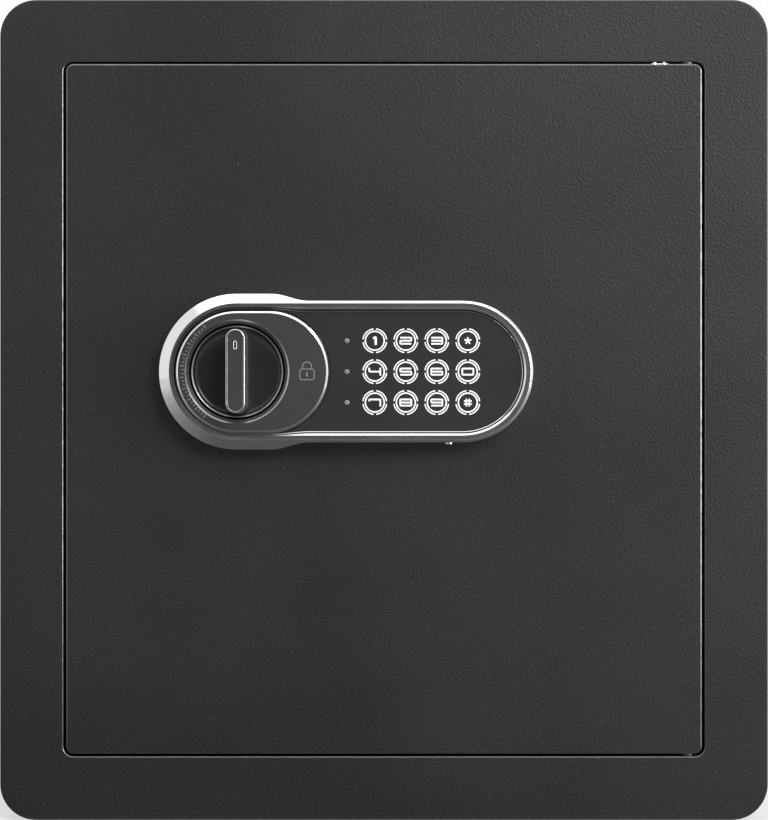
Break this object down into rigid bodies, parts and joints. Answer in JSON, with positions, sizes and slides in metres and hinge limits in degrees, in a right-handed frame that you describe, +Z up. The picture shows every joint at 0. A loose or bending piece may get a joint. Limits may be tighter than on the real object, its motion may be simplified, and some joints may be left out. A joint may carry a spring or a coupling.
{
  "type": "electronic safe",
  "caption": "Steel cabinet safe with one right-hinged door, oval keypad panel, turning grip knob, sliding round bolts and a fixed inner shelf.",
  "frame": {"origin": "middle of the footprint of the closed safe, knob included, on the surface it stands on", "axes": "+Z up, -Y out of the door, +X towards the hinges on the right seen from the front"},
  "size_m": [0.38, 0.356, 0.406],
  "materials": {
    "textured_paint": "fine textured dark grey powder coat",
    "inner_paint": "plain dark grey powder coat",
    "plated_plastic": "polished chrome plate",
    "satin_black": "satin dark grey moulding",
    "black_plastic": "plain black moulding",
    "zinc_steel": "zinc plated steel",
    "black_rubber": "soft black rubber",
    "circuit_board": "green lacquered circuit board",
    "lamp_grey": "unlit grey lamp lens",
    "cell_sleeve": "plain sleeve on a round battery",
    "felt": "needled felt mat"
  },
  "bodies": {
    "cabinet": {"outer_wrap": "textured_paint", "back_panel": "textured_paint", "front_frame": "textured_paint", "lock_jamb": "inner_paint", "hinge_block_top": "inner_paint", "hinge_block_bottom": "inner_paint", "shelf": "inner_paint", "shelf_rail_left": "inner_paint", "shelf_rail_right": "inner_paint", "floor_mat": "felt"},
    "door": {"door_plate": "textured_paint", "hinge_pin_top": "zinc_steel", "hinge_pin_bottom": "zinc_steel", "hinge_pin_clip": "zinc_steel", "door_pan": "inner_paint", "door_back_cover": "inner_paint", "cover_screw_1": "zinc_steel", "cover_screw_2": "zinc_steel", "cover_screw_3": "zinc_steel", "cover_screw_4": "zinc_steel", "battery_box": "black_plastic", "battery_1": "cell_sleeve", "battery_2": "cell_sleeve", "battery_3": "cell_sleeve", "battery_4": "cell_sleeve", "control_board": "circuit_board", "carriage_guide": "zinc_steel", "plunger_spring": "zinc_steel", "solenoid_body": "zinc_steel", "panel_housing": "black_plastic", "chrome_bezel": "plated_plastic", "keypad_face": "satin_black", "knob_plate": "satin_black", "keypad_board": "circuit_board", "key_mat": "black_rubber", "led_light_pipe": "lamp_grey", "power_jack": "zinc_steel", "keypad_cable": "black_rubber"},
    "knob": {"knob": "plated_plastic", "knob_inlay": "satin_black", "spindle": "zinc_steel", "drive_cam": "zinc_steel"},
    "bolt_carriage": {"carriage_plate": "zinc_steel", "bolt_upper": "zinc_steel", "bolt_lower": "zinc_steel"},
    "lock_plunger": {"plunger": "zinc_steel"},
    "battery_lid": {"battery_lid": "black_plastic"},
    "reset_button": {"reset_button": "black_rubber"},
    "key_1": {"key_1": "satin_black"},
    "key_2": {"key_2": "satin_black"},
    "key_3": {"key_3": "satin_black"},
    "key_star": {"key_star": "satin_black"},
    "key_4": {"key_4": "satin_black"},
    "key_5": {"key_5": "satin_black"},
    "key_6": {"key_6": "satin_black"},
    "key_0": {"key_0": "satin_black"},
    "key_7": {"key_7": "satin_black"},
    "key_8": {"key_8": "satin_black"},
    "key_9": {"key_9": "satin_black"},
    "key_hash": {"key_hash": "satin_black"}
  },
  "joints": [
    {"name": "door_swing", "type": "hinge", "parent": "cabinet", "child": "door", "pos_m": [0.15035, -0.1485, 0.2035], "axis": [0, 0, 1], "range_deg": [0, 105]},
    {"name": "knob_turn", "type": "hinge", "parent": "door", "child": "knob", "pos_m": [-0.07175, -0.16, 0.22175], "axis": [0, 1, 0], "range_deg": [0, 90]},
    {"name": "bolt_slide", "type": "slide", "parent": "door", "child": "bolt_carriage", "axis": [-1, 0, 0], "range_m": [0, 0.015]},
    {"name": "plunger_drop", "type": "slide", "parent": "door", "child": "lock_plunger", "axis": [0, 0, -1], "range_m": [0, 0.006], "stiffness_N_per_m": 60, "springref_m": 0.006, "deforming": ["plunger_spring"]},
    {"name": "lid_slide", "type": "slide", "parent": "door", "child": "battery_lid", "axis": [0, 0, -1], "range_m": [0, 0.06]},
    {"name": "reset_press", "type": "slide", "parent": "door", "child": "reset_button", "axis": [0, -1, 0], "range_m": [0, 0.0015], "stiffness_N_per_m": 500},
    {"name": "press_1", "type": "slide", "parent": "door", "child": "key_1", "axis": [0, 1, 0], "range_m": [0, 0.0008], "stiffness_N_per_m": 500},
    {"name": "press_2", "type": "slide", "parent": "door", "child": "key_2", "axis": [0, 1, 0], "range_m": [0, 0.0008], "stiffness_N_per_m": 500},
    {"name": "press_3", "type": "slide", "parent": "door", "child": "key_3", "axis": [0, 1, 0], "range_m": [0, 0.0008], "stiffness_N_per_m": 500},
    {"name": "press_star", "type": "slide", "parent": "door", "child": "key_star", "axis": [0, 1, 0], "range_m": [0, 0.0008], "stiffness_N_per_m": 500},
    {"name": "press_4", "type": "slide", "parent": "door", "child": "key_4", "axis": [0, 1, 0], "range_m": [0, 0.0008], "stiffness_N_per_m": 500},
    {"name": "press_5", "type": "slide", "parent": "door", "child": "key_5", "axis": [0, 1, 0], "range_m": [0, 0.0008], "stiffness_N_per_m": 500},
    {"name": "press_6", "type": "slide", "parent": "door", "child": "key_6", "axis": [0, 1, 0], "range_m": [0, 0.0008], "stiffness_N_per_m": 500},
    {"name": "press_0", "type": "slide", "parent": "door", "child": "key_0", "axis": [0, 1, 0], "range_m": [0, 0.0008], "stiffness_N_per_m": 500},
    {"name": "press_7", "type": "slide", "parent": "door", "child": "key_7", "axis": [0, 1, 0], "range_m": [0, 0.0008], "stiffness_N_per_m": 500},
    {"name": "press_8", "type": "slide", "parent": "door", "child": "key_8", "axis": [0, 1, 0], "range_m": [0, 0.0008], "stiffness_N_per_m": 500},
    {"name": "press_9", "type": "slide", "parent": "door", "child": "key_9", "axis": [0, 1, 0], "range_m": [0, 0.0008], "stiffness_N_per_m": 500},
    {"name": "press_hash", "type": "slide", "parent": "door", "child": "key_hash", "axis": [0, 1, 0], "range_m": [0, 0.0008], "stiffness_N_per_m": 500}
  ],
  "couplings": [
    {"joint": "knob_turn", "follows": "bolt_slide", "rad_per_m": 104.72}
  ]
}
